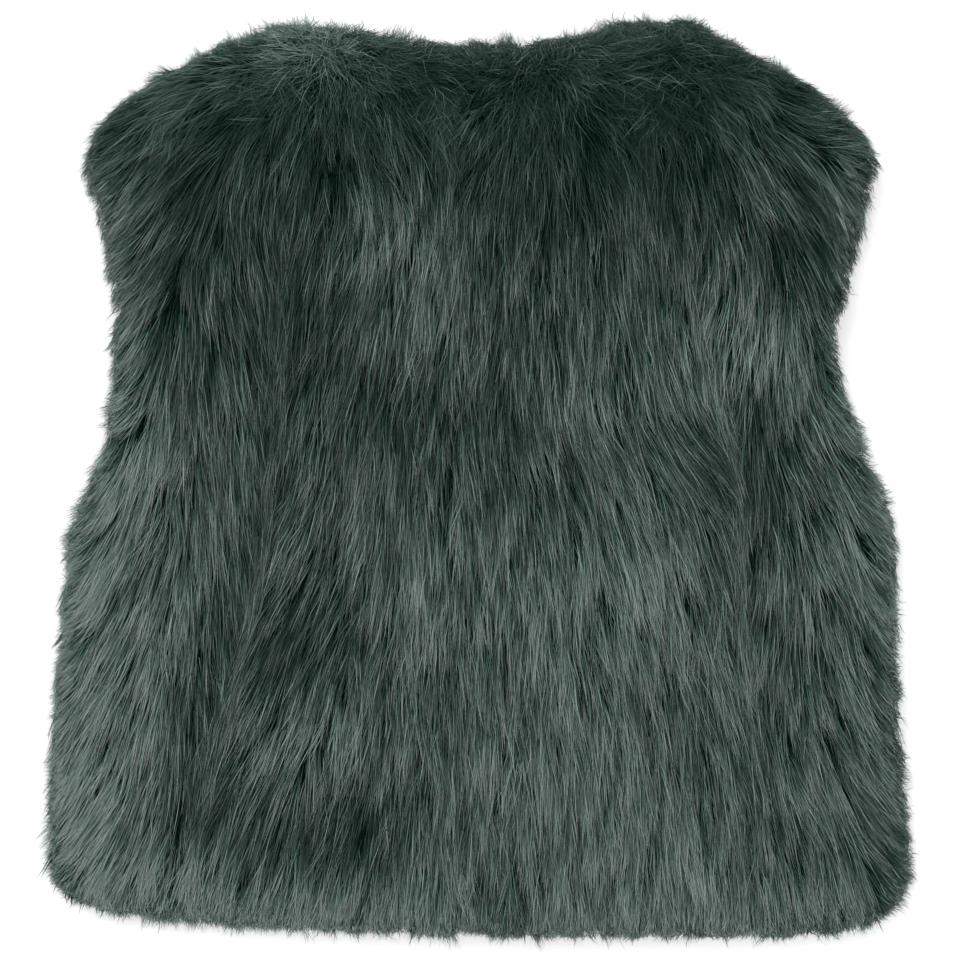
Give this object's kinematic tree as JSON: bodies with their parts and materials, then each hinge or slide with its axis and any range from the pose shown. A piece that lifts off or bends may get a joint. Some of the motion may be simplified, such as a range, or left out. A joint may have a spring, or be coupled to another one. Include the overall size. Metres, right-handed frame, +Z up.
{
  "type": "faux fur vest",
  "caption": "Cropped sleeveless vest of long-pile dark green faux fur, laid flat on its front with the back upwards, panelled back, plain open fronts beneath.",
  "frame": {"origin": "on the surface the vest lies on, under the middle of its outline", "axes": "+Z up out of the laid vest's back, +Y from the hem to the neck, +X to the picture's right"},
  "size_m": [0.5208, 0.5562, 0.0536],
  "materials": {
    "fur_back": "long soft pile, dark green roots with grey-green frosted tips, low sheen",
    "fur_front": "long soft pile, dark green, pressed flat",
    "knit_backing": "dark knit backing, matt"
  },
  "bodies": {
    "root": {"back_centre": "fur_back", "back_side_left": "fur_back", "back_side_right": "fur_back", "front_left": "fur_front", "front_right": "fur_front"}
  },
  "joints": []
}
